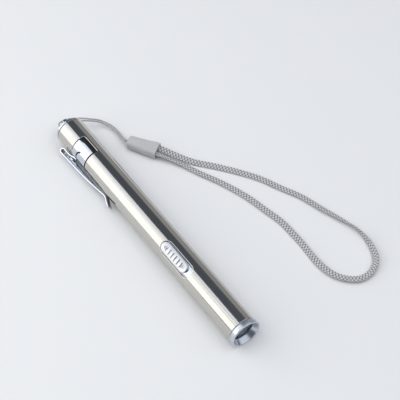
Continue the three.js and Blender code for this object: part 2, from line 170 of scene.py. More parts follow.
def vary_colour(tree, shader, colour, amount, low, high):
    """Moves the base colour between low and high times itself."""
    tint = add(tree, "ShaderNodeMixRGB", {
        "Fac": amount,
        "Color1": (*[c * low for c in colour], 1), "Color2": (*[min(1, c * high) for c in colour], 1),
    })
    tree.links.new(tint.outputs[0], shader.inputs["Base Color"])


def add_bump(tree, shader, height, strength, distance):
    """Unevenness too fine to model, this many metres deep."""
    bump = add(tree, "ShaderNodeBump", {"Height": height, "Strength": strength, "Distance": distance})
    tree.links.new(bump.outputs[0], shader.inputs["Normal"])


# ---- meshes ----
def on_barrel(s, b, r):
    """A point of the light and the directions of s, b and r there; b is the arc at the barrel's radius."""
    phi = b / BARREL_R
    out = Vector((0, -math.sin(phi), math.cos(phi)))
    point = Vector((TAIL_X, AXIS_Y, AXIS_Z)) + Vector((s * MM, 0, 0)) + out * (r * MM)
    return point, Vector((1, 0, 0)), Vector((0, -math.cos(phi), -math.sin(phi))), out


def on_eye(s, b, r):
    """A point of the tail eye, which stands upright in the barrel's middle plane."""
    point = Vector((TAIL_X + s * MM, AXIS_Y - r * MM, AXIS_Z + b * MM))
    return point, Vector((1, 0, 0)), Vector((0, 0, 1)), Vector((0, -1, 0))


def make_object(name, verts, faces, normals=None):
    mesh = bpy.data.meshes.new(name)
    mesh.from_pydata([tuple(v) for v in verts], [], faces)
    mesh.polygons.foreach_set("use_smooth", [True] * len(mesh.polygons))
    if normals is not None:
        mesh.normals_split_custom_set([tuple(n) for n in normals])
    mesh.update()
    obj = bpy.data.objects.new(name, mesh)
    bpy.context.scene.collection.objects.link(obj)
    return obj


def sharpen(obj, degrees):
    """Keeps edges that turn by more than this crisp, and shades the rest smooth."""
    bm = bmesh.new()
    bm.from_mesh(obj.data)
    bmesh.ops.recalc_face_normals(bm, faces=bm.faces)
    for edge in bm.edges:
        edge.smooth = len(edge.link_faces) == 2 and edge.calc_face_angle(0) < math.radians(degrees)
    bm.to_mesh(obj.data)
    bm.free()


def finish_piece(obj, body, slot, material, *nodes):
    obj.data.materials.clear()
    obj.data.materials.append(material)
    if body:
        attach(obj, body)
    if nodes:
        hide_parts(*nodes)
    return obj


def inside(points, polygon):
    """Which of the points lie inside the polygon."""
    x, y = points[:, 0], points[:, 1]
    found = np.zeros(len(points), bool)
    previous = polygon[-1]
    for corner in polygon:
        (x0, y0), (x1, y1) = previous, corner
        if y0 != y1:
            found ^= ((y0 > y) != (y1 > y)) & (x < (x1 - x0) * (y - y0) / (y1 - y0) + x0)
        previous = corner
    return found


def distance(points, polygon):
    """How far each point is from the polygon's outline."""
    ends = np.array(polygon)
    starts = np.roll(ends, 1, axis=0)
    best = np.full(len(points), 1e9)
    for p, q in zip(starts, ends):
        along = q - p
        t = np.clip(((points - p) @ along) / max(along @ along, 1e-12), 0, 1)
        best = np.minimum(best, np.hypot(*(points - p - t[:, None] * along).T))
    return best


def outward(polygon, sign):
    """At each corner of an anticlockwise polygon, the unit direction out of it, or into it for sign -1."""
    points = np.array(polygon)
    along = np.roll(points, -1, axis=0) - np.roll(points, 1, axis=0)
    normal = np.stack([along[:, 1], -along[:, 0]], axis=1)
    return sign * normal / np.linalg.norm(normal, axis=1)[:, None]


def racetrack(start, end, width, middle=0.0, steps=14):
    """An anticlockwise outline with round ends."""
    r = width / 2
    points = []
    for centre, first in ((end - r, -90), (start + r, 90)):
        for i in range(steps + 1):
            a = math.radians(first + 180 * i / steps)
            points.append((centre + r * math.cos(a), middle + r * math.sin(a)))
    return points


def resampled(points, step):
    """The same closed outline with points no further apart than step."""
    result = []
    for corner, following in zip(points, [*points[1:], points[0]]):
        p, q = np.array(corner), np.array(following)
        parts = max(1, math.ceil(np.linalg.norm(q - p) / step - 1e-9))
        result += [tuple(p + (q - p) * j / parts) for j in range(parts)]
    return result


def rounded_corners(corners, steps=6):
    """An outline whose corners, each (x, y, radius), are turned into arcs."""
    result = []
    for i, (x, y, radius) in enumerate(corners):
        here = Vector((x, y))
        back = Vector(corners[i - 1][:2]) - here
        ahead = Vector(corners[(i + 1) % len(corners)][:2]) - here
        if radius <= 0:
            result.append((x, y))
            continue
        half = back.angle(ahead) / 2
        reach = radius / math.tan(half)
        start, end = here + back.normalized() * reach, here + ahead.normalized() * reach
        centre = here + (back.normalized() + ahead.normalized()).normalized() * (radius / math.sin(half))
        first, last = start - centre, end - centre
        turn = math.atan2(first.x * last.y - first.y * last.x, first.dot(last))
        for j in range(steps + 1):
            a = turn * j / steps
            result.append((
                centre.x + first.x * math.cos(a) - first.y * math.sin(a),
                centre.y + first.x * math.sin(a) + first.y * math.cos(a),
            ))
    return result


def panel(name, place, outline, holes, top, bottom, rim, step, height=None, tube=False, both=False):
    """A wall of sheet metal: an outline with holes, laid flat, given a rounded rim and put in place.

    A tube's outline is (start, end), and its wall goes right round. height adds to the top surface."""
    rim_steps = 4
    points, drops, sides, angles = [], [], [], []
    constraints, walls = [], []

    def add_ring(loop, normals, closed):
        """Rows of points that round a rim off, the first of them on the edge itself."""
        for k in range(rim_steps + 1):
            theta = k / rim_steps * math.pi / 2
            inset, drop = rim * (1 - math.cos(theta)), rim * (1 - math.sin(theta))
            first = len(points)
            for p, n in zip(loop, normals):
                points.append((p[0] - n[0] * inset, p[1] - n[1] * inset))
                drops.append(drop)
                sides.append((n[0], n[1]))
                angles.append(theta)
            ring = list(range(first, len(points)))
            pairs = list(zip(ring, ring[1:] + ring[:1])) if closed else list(zip(ring, ring[1:]))
            constraints.extend(pairs)
            if k == 0:
                walls.extend(pairs)

    if tube:
        start, end = outline
        around = math.pi * BARREL_R
        columns = np.linspace(-around, around, round(2 * around / step[1]) + 1)
        add_ring([(start, b) for b in columns], [(-1, 0)] * len(columns), False)
        add_ring([(end, b) for b in columns], [(1, 0)] * len(columns), False)
        limits = (start, end, -around, around)
    else:
        add_ring(outline, outward(outline, 1), True)
        flat = np.array(outline)
        limits = (flat[:, 0].min(), flat[:, 0].max(), flat[:, 1].min(), flat[:, 1].max())
        columns = np.linspace(limits[2], limits[3], max(2, round((limits[3] - limits[2]) / step[1])) + 1)
    for hole in holes:
        add_ring(hole, outward(hole, -1), True)

    rows = np.linspace(limits[0], limits[1], max(2, round((limits[1] - limits[0]) / step[0])) + 1)
    grid = np.array([(a, b) for a in rows for b in columns])
    margin = rim + 0.35 * min(step)
    keep = np.ones(len(grid), bool)
    if tube:
        keep &= (grid[:, 0] > limits[0] + margin) & (grid[:, 0] < limits[1] - margin)
    else:
        keep &= inside(grid, outline) & (distance(grid, outline) > margin)
    for hole in holes:
        keep &= ~inside(grid, hole) & (distance(grid, hole) > margin)
    for a, b in grid[keep]:
        points.append((a, b))
        drops.append(0.0)
        sides.append((0.0, 0.0))
        angles.append(math.pi / 2)

    coords, _, triangles, origin, _, _ = delaunay_2d_cdt(
        [Vector(p) for p in points], constraints, [], 0, 1e-7
    )
    source = [o[0] if o else -1 for o in origin]
    if -1 in source:
        raise RuntimeError(f"{name}: the outlines cross")
    triangles = [tuple(source[i] for i in t) for t in triangles]
    flat = np.array(points)
    centres = np.array([flat[list(t)].mean(axis=0) for t in triangles])
    solid = np.ones(len(triangles), bool) if tube else inside(centres, outline)
    for hole in holes:
        solid &= ~inside(centres, hole)

    verts, index = [], {}

    def vertex(point):
        key = tuple(round(c * 1e7) for c in point)
        if key not in index:
            index[key] = len(verts)
            verts.append(point)
        return index[key]

    upper, lower, upper_normal, lower_normal, side_normal = [], [], [], [], []
    for (a, b), drop, (na, nb), theta in zip(points, drops, sides, angles):
        level = height(a, b) if height else 0.0
        point, along, across, out = place(a, b, top - drop + level)
        side = along * na + across * nb
        if theta < math.pi / 2:
            normal = out * math.sin(theta) + side * math.cos(theta)
        elif height:
            d = 0.01
            slope_a = (height(a + d, b) - height(a - d, b)) / (2 * d)
            slope_b = (height(a, b + d) - height(a, b - d)) / (2 * d)
            normal = (out - along * slope_a - across * slope_b).normalized()
        else:
            normal = out
        upper.append(vertex(point))
        upper_normal.append(normal)
        side_normal.append(side)
        lower.append(vertex(place(a, b, bottom + (drop if both else 0.0))[0]))
        rounded = both and theta < math.pi / 2
        lower_normal.append(side * math.cos(theta) - out * math.sin(theta) if rounded else -out)

    faces, normals = [], []

    def face(corners, corner_normals):
        if len(set(corners)) < 3:
            return
        p = [verts[c] for c in corners]
        turn = (p[1] - p[0]).cross(p[2] - p[0]) + (p[-1] - p[0]).cross(p[1] - p[0]) * -1
        if turn.dot(sum(corner_normals, Vector())) < 0:
            corners, corner_normals = corners[::-1], corner_normals[::-1]
        faces.append(corners)
        normals.extend(corner_normals)

    for t, keep_it in zip(triangles, solid):
        if keep_it:
            face([upper[i] for i in t], [upper_normal[i] for i in t])
            face([lower[i] for i in t], [lower_normal[i] for i in t])
    for i, j in walls:
        face(
            [upper[i], upper[j], lower[j], lower[i]],
            [side_normal[i], side_normal[j], side_normal[j], side_normal[i]],
        )
    return make_object(name, verts, faces, normals)


def turned(name, corners, segments=144, crisp=40):
    """A piece turned about the barrel's axis from a closed outline of (s, radius, corner rounding)."""
    outline = rounded_corners(corners, 4)
    verts, faces, rows = [], [], []
    for s, r in outline:
        if r < 1e-6:
            rows.append([len(verts)] * segments)
            verts.append(on_barrel(s, 0, 0)[0])
            continue
        rows.append(list(range(len(verts), len(verts) + segments)))
        for i in range(segments):
            verts.append(on_barrel(s, i / segments * 2 * math.pi * BARREL_R, r)[0])
    for row, following in zip(rows, rows[1:] + rows[:1]):
        for i in range(segments):
            j = (i + 1) % segments
            corner = list(dict.fromkeys([row[i], row[j], following[j], following[i]]))
            if len(corner) > 2:
                faces.append(corner)
    obj = make_object(name, verts, faces)
    sharpen(obj, crisp)
    return obj


def loft(name, rings, crisp=60):
    """A skin over rings of equally many points, closed at both ends."""
    count = len(rings[0])
    verts = [v for ring in rings for v in ring]
    faces = []
    for k in range(len(rings) - 1):
        for i in range(count):
            j = (i + 1) % count
            faces.append([k * count + i, k * count + j, (k + 1) * count + j, (k + 1) * count + i])
    for k in (0, len(rings) - 1):
        centre = len(verts)
        verts.append(sum((Vector(v) for v in rings[k]), Vector()) / count)
        for i in range(count):
            faces.append([centre, k * count + i, k * count + (i + 1) % count])
    obj = make_object(name, verts, faces)
    sharpen(obj, crisp)
    return obj


def smooth_route(points, step):
    """Points a step apart on a smooth curve through the given ones; each may carry further values."""
    data = [np.array(p, float) for p in points]
    data = [2 * data[0] - data[1], *data, 2 * data[-1] - data[-2]]
    fine = []
    for i in range(1, len(data) - 2):
        p0, p1, p2, p3 = data[i - 1:i + 3]
        knots = [0.0]
        for q, r in ((p0, p1), (p1, p2), (p2, p3)):
            knots.append(knots[-1] + max(np.linalg.norm((r - q)[:3]) ** 0.5, 1e-6))
        t0, t1, t2, t3 = knots
        for t in np.linspace(t1, t2, 24, endpoint=False):
            a1 = ((t1 - t) * p0 + (t - t0) * p1) / (t1 - t0)
            a2 = ((t2 - t) * p1 + (t - t1) * p2) / (t2 - t1)
            a3 = ((t3 - t) * p2 + (t - t2) * p3) / (t3 - t2)
            b1 = ((t2 - t) * a1 + (t - t0) * a2) / (t2 - t0)
            b2 = ((t3 - t) * a2 + (t - t1) * a3) / (t3 - t1)
            fine.append(((t2 - t) * b1 + (t - t1) * b2) / (t2 - t1))
    fine = np.array([*fine, data[-2]])
    gaps = np.linalg.norm(np.diff(fine[:, :3], axis=0), axis=1)
    length = np.concatenate([[0], np.cumsum(gaps)])
    at = np.linspace(0, length[-1], max(2, round(length[-1] / step)) + 1)
    return np.stack([np.interp(at, length, column) for column in fine.T], axis=1), length[-1]


# ---- node trees: a braid for the string and the strap, and a coil spring ----
def new_tree(name, sizes):
    """A modifier tree with an input for each size and one for the material, and those inputs."""
    tree = bpy.data.node_groups.new(name, "GeometryNodeTree")
    tree.is_modifier = True
    face = tree.interface
    face.new_socket("Geometry", in_out="INPUT", socket_type="NodeSocketGeometry")
    for label, value in sizes.items():
        kind = "NodeSocketInt" if isinstance(value, int) else "NodeSocketFloat"
        face.new_socket(label, in_out="INPUT", socket_type=kind).default_value = value
    face.new_socket("Material", in_out="INPUT", socket_type="NodeSocketMaterial")
    face.new_socket("Geometry", in_out="OUTPUT", socket_type="NodeSocketGeometry")
    return tree, add(tree, "NodeGroupInput").outputs


def end_tree(tree, given, shape):
    """Smooths the shape, realizes it and gives it its material."""
    smooth = add(tree, "GeometryNodeSetShadeSmooth", {"Geometry": shape.outputs[0]})
    real = add(tree, "GeometryNodeRealizeInstances", {"Geometry": smooth.outputs[0]})
    painted = add(tree, "GeometryNodeSetMaterial", {
        "Geometry": real.outputs[0], "Material": given["Material"],
    })
    add(tree, "NodeGroupOutput", {0: painted.outputs[0]})
    return tree


def braid_tree():
    """Sweeps an oval round a path and raises it where strands cross over one another."""
    tree, given = new_tree("Braided cord", {
        "Half Width": 1.4 * MM, "Half Height": 0.5 * MM, "Strands": 6.0, "Pitch": 1.2 * MM,
        "Relief": 0.1 * MM, "Sides": 36,
    })

    def maths(operation, a, b=None):
        return add(tree, "ShaderNodeMath", {0: a, 1: b}, operation=operation).outputs[0]

    # The path's length and the turn round the section are kept for the crossing pattern.
    spline = add(tree, "GeometryNodeSplineParameter")
    path = add(tree, "GeometryNodeCaptureAttribute", domain="POINT")
    path.capture_items.new("FLOAT", "Along")
    tree.links.new(given["Geometry"], path.inputs[0])
    tree.links.new(spline.outputs["Length"], path.inputs["Along"])

    circle = add(tree, "GeometryNodeCurvePrimitiveCircle", {"Resolution": given["Sides"], "Radius": 1.0})
    ring = add(tree, "GeometryNodeCaptureAttribute", {0: circle.outputs["Curve"]}, domain="POINT")
    ring.capture_items.new("FLOAT", "Around")
    tree.links.new(spline.outputs["Factor"], ring.inputs["Around"])
    place = add(tree, "ShaderNodeSeparateXYZ", {0: add(tree, "GeometryNodeInputPosition").outputs[0]})
    oval = add(tree, "ShaderNodeCombineXYZ", {
        0: maths("MULTIPLY", place.outputs[0], given["Half Width"]),
        1: maths("MULTIPLY", place.outputs[1], given["Half Height"]),
    })
    profile = add(tree, "GeometryNodeSetPosition", {"Geometry": ring.outputs[0], "Position": oval.outputs[0]})
    tube = add(tree, "GeometryNodeCurveToMesh", {
        "Curve": path.outputs[0], "Profile Curve": profile.outputs[0], "Fill Caps": True,
    })

    turns = maths("MULTIPLY", ring.outputs["Around"], given["Strands"])
    pitches = maths("DIVIDE", path.outputs["Along"], given["Pitch"])
    left, right = maths("ADD", turns, pitches), maths("SUBTRACT", turns, pitches)
    parity = maths("FLOORED_MODULO", maths("ADD", maths("FLOOR", left), maths("FLOOR", right)), 2.0)
    # Whichever strand is on top at a crossing, one fraction runs across it and the other along it.
    left_part, right_part = maths("FRACT", left), maths("FRACT", right)
    swap = maths("GREATER_THAN", parity, 0.5)

    def chosen(first, second):
        return add(tree, "GeometryNodeSwitch", {
            "Switch": swap, "False": first, "True": second,
        }, input_type="FLOAT").outputs[0]

    def arch(value):
        """1 in the middle of a strand and 0 at its edges."""
        offset = maths("SUBTRACT", maths("MULTIPLY", value, 2.0), 1.0)
        return maths("SUBTRACT", 1.0, maths("MULTIPLY", offset, offset))

    across = maths("SQRT", maths("MAXIMUM", arch(chosen(left_part, right_part)), 0.0))
    lift = maths("ADD", maths("MULTIPLY", arch(chosen(right_part, left_part)), 0.35), 0.65)
    strand = maths("MULTIPLY", across, lift)
    level = maths("MULTIPLY", maths("SUBTRACT", strand, 0.7), given["Relief"])
    offset = add(tree, "ShaderNodeVectorMath", {
        0: add(tree, "GeometryNodeInputNormal").outputs[0], "Scale": level,
    }, operation="SCALE")
    raised = add(tree, "GeometryNodeSetPosition", {"Geometry": tube.outputs[0], "Offset": offset.outputs[0]})
    # The strand value is kept on the mesh; the yarn material paints shade from it into the gaps between
    # strands and a highlight onto their crests.
    kept = add(tree, "GeometryNodeStoreNamedAttribute", {
        "Geometry": raised.outputs[0], "Name": "strand", "Value": strand,
    }, data_type="FLOAT", domain="POINT")
    return end_tree(tree, given, kept)


def spring_tree():
    """A wire coil that narrows along its axis, for the battery contact spring."""
    tree, given = new_tree("Coil spring", {
        "Turns": 4.0, "Start Radius": 3.0 * MM, "End Radius": 2.0 * MM, "Height": 5.4 * MM,
        "Wire Radius": 0.3 * MM,
    })
    coil = add(tree, "GeometryNodeCurveSpiral", {
        "Resolution": 40, "Rotations": given["Turns"], "Start Radius": given["Start Radius"],
        "End Radius": given["End Radius"], "Height": given["Height"],
    })
    wire = add(tree, "GeometryNodeCurvePrimitiveCircle", {
        "Resolution": 14, "Radius": given["Wire Radius"],
    })
    tube = add(tree, "GeometryNodeCurveToMesh", {
        "Curve": coil.outputs[0], "Profile Curve": wire.outputs[0], "Fill Caps": True,
    })
    return end_tree(tree, given, tube)


def made_by(tree, name, points, rolls, values):
    """Runs a node tree on a bare path and returns what it makes, as a plain mesh."""
    source = path_object(name, points, rolls)
    modifier = source.modifiers.new(name, "NODES")
    modifier.node_group = tree
    for item in tree.interface.items_tree:
        if item.in_out == "INPUT" and item.name in values:
            modifier[item.identifier] = values[item.name]
    source.update_tag()
    bpy.context.view_layer.update()
    graph = bpy.context.evaluated_depsgraph_get()
    mesh = bpy.data.meshes.new_from_object(source.evaluated_get(graph), depsgraph=graph)
    mesh.name = name
    source.modifiers.remove(modifier)
    bpy.data.objects.remove(source)
    obj = bpy.data.objects.new(name, mesh)
    bpy.context.scene.collection.objects.link(obj)
    return obj


def path_object(name, points, rolls):
    """A bare path whose points carry their roll."""
    curve = bpy.data.curves.new(name, "CURVE")
    curve.dimensions = "3D"
    curve.twist_mode = "Z_UP"
    spline = curve.splines.new("POLY")
    spline.points.add(len(points) - 1)
    for target, point, roll in zip(spline.points, points, rolls):
        target.co = (*point, 1.0)
        target.tilt = roll
    obj = bpy.data.objects.new(name, curve)
    bpy.context.scene.collection.objects.link(obj)
    return obj


# ---- materials ----
def satin_steel(colour, name="Brushed stainless steel", roughness=0.15, streak=0.7):
    """Drawn stainless tube: faint lines along its length spread each reflection round the barrel."""
    material, tree, shader = new_material(name, Metallic=1.0, Roughness=roughness, Base_Color=colour)
    # Polishing lines are about 0.05 mm apart; they are drawn 0.35 mm apart so that they show.
    lines = object_noise(tree, (25, 2800, 2800), 3.0, 0.6)
    # Handling leaves soft patches about 12 mm long.
    patches = object_noise(tree, (80, 220, 220))
    spread = add(tree, "ShaderNodeMath", {0: lines, 1: 0.14 * streak}, operation="MULTIPLY")
    wear = add(tree, "ShaderNodeMath", {
        0: patches, 1: 0.08, 2: spread.outputs[0],
    }, operation="MULTIPLY_ADD")
    total = add(tree, "ShaderNodeMath", {0: wear.outputs[0], 1: roughness - 0.11}, operation="ADD")
    tree.links.new(total.outputs[0], shader.inputs["Roughness"])
    vary_colour(tree, shader, colour, lines, 0.93, 1.05)
    add_bump(tree, shader, lines, 0.12 * streak, 0.00002)
    return material


def mirror_steel(colour, name="Mirror-polished stainless steel", roughness=0.09):
    """Buffed sheet and turned rims: crisp reflections, with faint smears left by handling."""
    material, tree, shader = new_material(name, Metallic=1.0, Roughness=roughness, Base_Color=colour)
    smears = object_noise(tree, 260.0, 4.0, 0.55)
    level = mapped(tree, smears, 0.3, 0.8, roughness - 0.03, roughness + 0.09)
    tree.links.new(level, shader.inputs["Roughness"])
    # Rolling leaves a very shallow unevenness, about 2.5 mm from crest to crest.
    add_bump(tree, shader, object_noise(tree, 400.0, 1.0), 0.08, 0.0001)
    return material


def braid_yarn(colour, name):
    """Woven polyester yarn: a dry fibre sheen, with painted shade where strands dive under one another."""
    material, tree, shader = new_material(
        name, Roughness=0.78, Base_Color=colour, Sheen_Weight=0.35, Sheen_Roughness=0.5,
        Sheen_Tint="#e6e8ec", Specular_IOR_Level=0.35,
    )
    strand = add(tree, "ShaderNodeAttribute", attribute_name="strand")
    # Yarn filaments are about 0.02 mm across; they are drawn 0.12 mm apart so that they show.
    fibres = object_noise(tree, 8000.0)
    # Painted shade and highlight: the colour drops to 0.14 of the yarn's in the gaps between strands and
    # rises to 1.3 times on their crests, standing in for how light falls on the weave.
    shade = mapped(tree, strand.outputs["Fac"], 0.35, 0.95, 0.14, 1.3)
    grain = add(tree, "ShaderNodeMath", {0: fibres, 1: 0.3, 2: 0.85}, operation="MULTIPLY_ADD")
    both = add(tree, "ShaderNodeMath", {0: shade, 1: grain.outputs[0]}, operation="MULTIPLY")
    tint = add(tree, "ShaderNodeVectorMath", {0: colour, "Scale": both.outputs[0]}, operation="SCALE")
    tree.links.new(tint.outputs[0], shader.inputs["Base Color"])
    add_bump(tree, shader, fibres, 0.4, 0.00003)
    return material


def soft_silicone(colour):
    """Moulded translucent silicone: light soaks a little way in, and dust leaves it slightly matt."""
    material, tree, shader = new_material(
        "Moulded silicone", Roughness=0.42, Base_Color=colour, IOR=1.41,
        Subsurface_Weight=0.35, Subsurface_Radius=(0.0012, 0.0011, 0.001), Subsurface_Scale=1.0,
    )
    # A spark-eroded mould leaves a grain of about 0.1 mm; cloudiness in the rubber is about 3 mm across.
    grain = object_noise(tree, 9000.0)
    cloud = object_noise(tree, 350.0)
    vary_colour(tree, shader, colour, cloud, 0.88, 1.08)
    add_bump(tree, shader, grain, 0.25, 0.00003)
    tree.links.new(mapped(tree, cloud, 0.3, 0.7, 0.36, 0.5), shader.inputs["Roughness"])
    return material


def lens_glass():
    """Pressed clear glass: it shows the reflector, with sharp glints and a trace of dust."""
    material, tree, shader = new_material(
        "Clear pressed glass", Roughness=0.02, Base_Color="#eef3f5", IOR=1.5, Transmission_Weight=0.92,
    )
    dust = object_noise(tree, 1500.0, 5.0)
    tree.links.new(mapped(tree, dust, 0.55, 0.8, 0.02, 0.16), shader.inputs["Roughness"])
    return material


def plain_finish(name, colour, roughness, metallic=0.0, scale=2500.0, depth=0.15):
    """A finish for inner pieces: even colour with a fine grain that breaks up its gloss."""
    material, tree, shader = new_material(name, Roughness=roughness, Base_Color=colour, Metallic=metallic)
    grain = object_noise(tree, scale, 3.0)
    level = mapped(tree, grain, 0.3, 0.7, max(roughness - 0.08, 0.02), min(roughness + 0.1, 1.0))
    tree.links.new(level, shader.inputs["Roughness"])
    vary_colour(tree, shader, linear(colour), grain, 0.85, 1.12)
    add_bump(tree, shader, grain, depth, 0.00002)
    return material


# ---- settings a user would change ----
def length_setting(label, description, default):
    return bpy.props.FloatProperty(
        name=label, description=description, default=default * MM, min=0.0, precision=5,
        subtype="DISTANCE", unit="LENGTH",
    )


def colour_setting(label, description, default):
    return bpy.props.FloatVectorProperty(
        name=label, description=description, default=linear(default), min=0.0, max=1.0,
        size=3, subtype="COLOR",
    )


class PENLIGHT_PG_sizes(bpy.types.PropertyGroup):
    """Sizes of the details that the frame leaves open."""

    sheet_rim: length_setting("Sheet rim", "Rounding of cut edges in the barrel and the clip's saddle", 0.28)
    knob_rim: length_setting("Knob rim", "Rounding round the switch knob's top", 0.28)
    groove_depth: length_setting("Groove depth", "Depth of the marks in the switch knob", 0.32)
    strap_width: length_setting("Strap width", "Width of the flat wrist strap", 2.9)
    strap_thickness: length_setting("Strap thickness", "Thickness of the flat wrist strap", 1.0)
    strap_pitch: length_setting("Strap pitch", "Length along the strap between crossings of one strand", 1.45)
    strap_strands: bpy.props.IntProperty(
        name="Strap strands", description="Strands that run each way round the strap",
        default=4, min=2, max=16,
    )
    strand_relief: length_setting("Strand relief", "How far a strand stands above the gaps beside it", 0.34)
    string_diameter: length_setting("String diameter", "Diameter of the thin string", 0.7)


class PENLIGHT_PG_colours(bpy.types.PropertyGroup):
    """Base colours of the finishes."""

    barrel: colour_setting("Barrel", "Brushed stainless barrel", "#c9c6c0")
    polish: colour_setting("Polished parts", "Clip, saddle, bezel and tail", "#cfd4dc")
    knob: colour_setting("Switch knob", "Satin switch knob", "#c6c7ca")
    yarn: colour_setting("Lanyard", "Braided yarn", "#b0b1b3")
    silicone: colour_setting("Sleeve", "Silicone sleeve on the lanyard", "#b4b5b6")
    floor: colour_setting("Floor", "Matt studio floor", "#d9dadb")


def settings(context):
    return context.scene.penlight_sizes, context.scene.penlight_colours


MATERIALS = {}


def finish(key, make, *args, **kwargs):
    """The finish of that name, made when it is first asked for."""
    if key not in MATERIALS:
        MATERIALS[key] = make(*args, **kwargs)
    return MATERIALS[key]


# ---- operators ----
class PENLIGHT_OT_stage(bpy.types.Operator):
    """Camera, soft studio lights and a plain pale floor"""

    bl_idname = "penlight.stage"
    bl_label = "Stage"

    def execute(self, context):
        _, colours = settings(context)
        scene = context.scene
        scene.view_settings.view_transform = "Standard"
        data = bpy.data.cameras.new("Camera")
        data.lens, data.sensor_width = CAMERA["lens"], CAMERA["sensor"]
        data.clip_start, data.clip_end = CAMERA["clip"]
        camera = bpy.data.objects.new("Camera", data)
        scene.collection.objects.link(camera)
        right, ahead = (Vector(CAMERA[key]).normalized() for key in ("right", "ahead"))
        up = right.cross(ahead)
        turn = Matrix((right, up, -ahead)).transposed().to_4x4()
        camera.matrix_world = Matrix.Translation(CAMERA["place"]) @ turn
        scene.camera = camera

        floor_material, tree, shader = new_material(
            "Matt studio paper", Roughness=0.85, Base_Color=tuple(colours.floor), Specular_IOR_Level=0.2,
        )
        add_bump(tree, shader, object_noise(tree, 900.0, 3.0), 0.04, 0.0002)
        side = 3
        corners = [(-side, -side, 0), (side, -side, 0), (side, side, 0), (-side, side, 0)]
        floor = make_object("studio_floor", corners, [(0, 1, 2, 3)])
        floor.data.materials.append(floor_material)

        world = bpy.data.worlds.new("Dim room")
        scene.world = world
        world.use_nodes = True
        background = world.node_tree.nodes["Background"]
        background.inputs["Color"].default_value = (*linear("#8f99a8"), 1)
        background.inputs["Strength"].default_value = 0.36

        # Each panel faces the barrel from the side where it is mirrored: its angle is counted
        # round the barrel from +Z towards -Y, and all of them stand off towards the tail.
        reach, length = 0.6, 1.0
        lean, across = -0.486, 0.874
        for name, low, high, radiance, tint in (
            ("Key panel", 42, 87, 1.75, "#fffefb"),
            ("Key edge panel", 25, 42, 1.4, "#fbfcff"),
            ("Top panel", 6.5, 25, 1.16, "#f3f7ff"),
            ("Back panel", -88, -50, 0.3, "#f3eee6"),
        ):
            middle, half = math.radians((low + high) / 2), math.radians((high - low) / 2)
            away = Vector((lean, -across * math.sin(middle), across * math.cos(middle)))
            upright = Vector((0, -math.cos(middle), -math.sin(middle)))
            height = 2 * reach * across * math.tan(half)
            self.panel(name, away, upright, reach, length, height, radiance, tint)
        # This one shows only in the rim round the lens.
        self.panel(
            "Front panel", Vector((0.38, 0.34, 0.86)), Vector((1, 0, -0.44)), 0.7, 1.1, 0.9, 0.85, "#f6f9ff",
        )
        fill = self.panel("Fill", Vector((0.1, -0.1, 1)), Vector((0, 1, 0.1)), 1.4, 2.2, 2.2, 1.0, "#fffdfa")
        fill.visible_glossy = False
        return {"FINISHED"}

    def panel(self, name, away, upright, reach, width, height, radiance, tint):
        """A soft rectangular light that faces the barrel's middle from the direction away."""
        away = away.normalized()
        light = bpy.data.lights.new(name, "AREA")
        light.shape = "RECTANGLE"
        light.size, light.size_y = width, height
        light.color = linear(tint)
        light.energy = radiance * math.pi * width * height
        lamp = bpy.data.objects.new(name, light)
        bpy.context.scene.collection.objects.link(lamp)
        sideways = upright.cross(away).normalized()
        axes = Matrix((sideways, away.cross(sideways), away)).transposed().to_4x4()
        lamp.matrix_world = Matrix.Translation(away * reach) @ axes
        return lamp


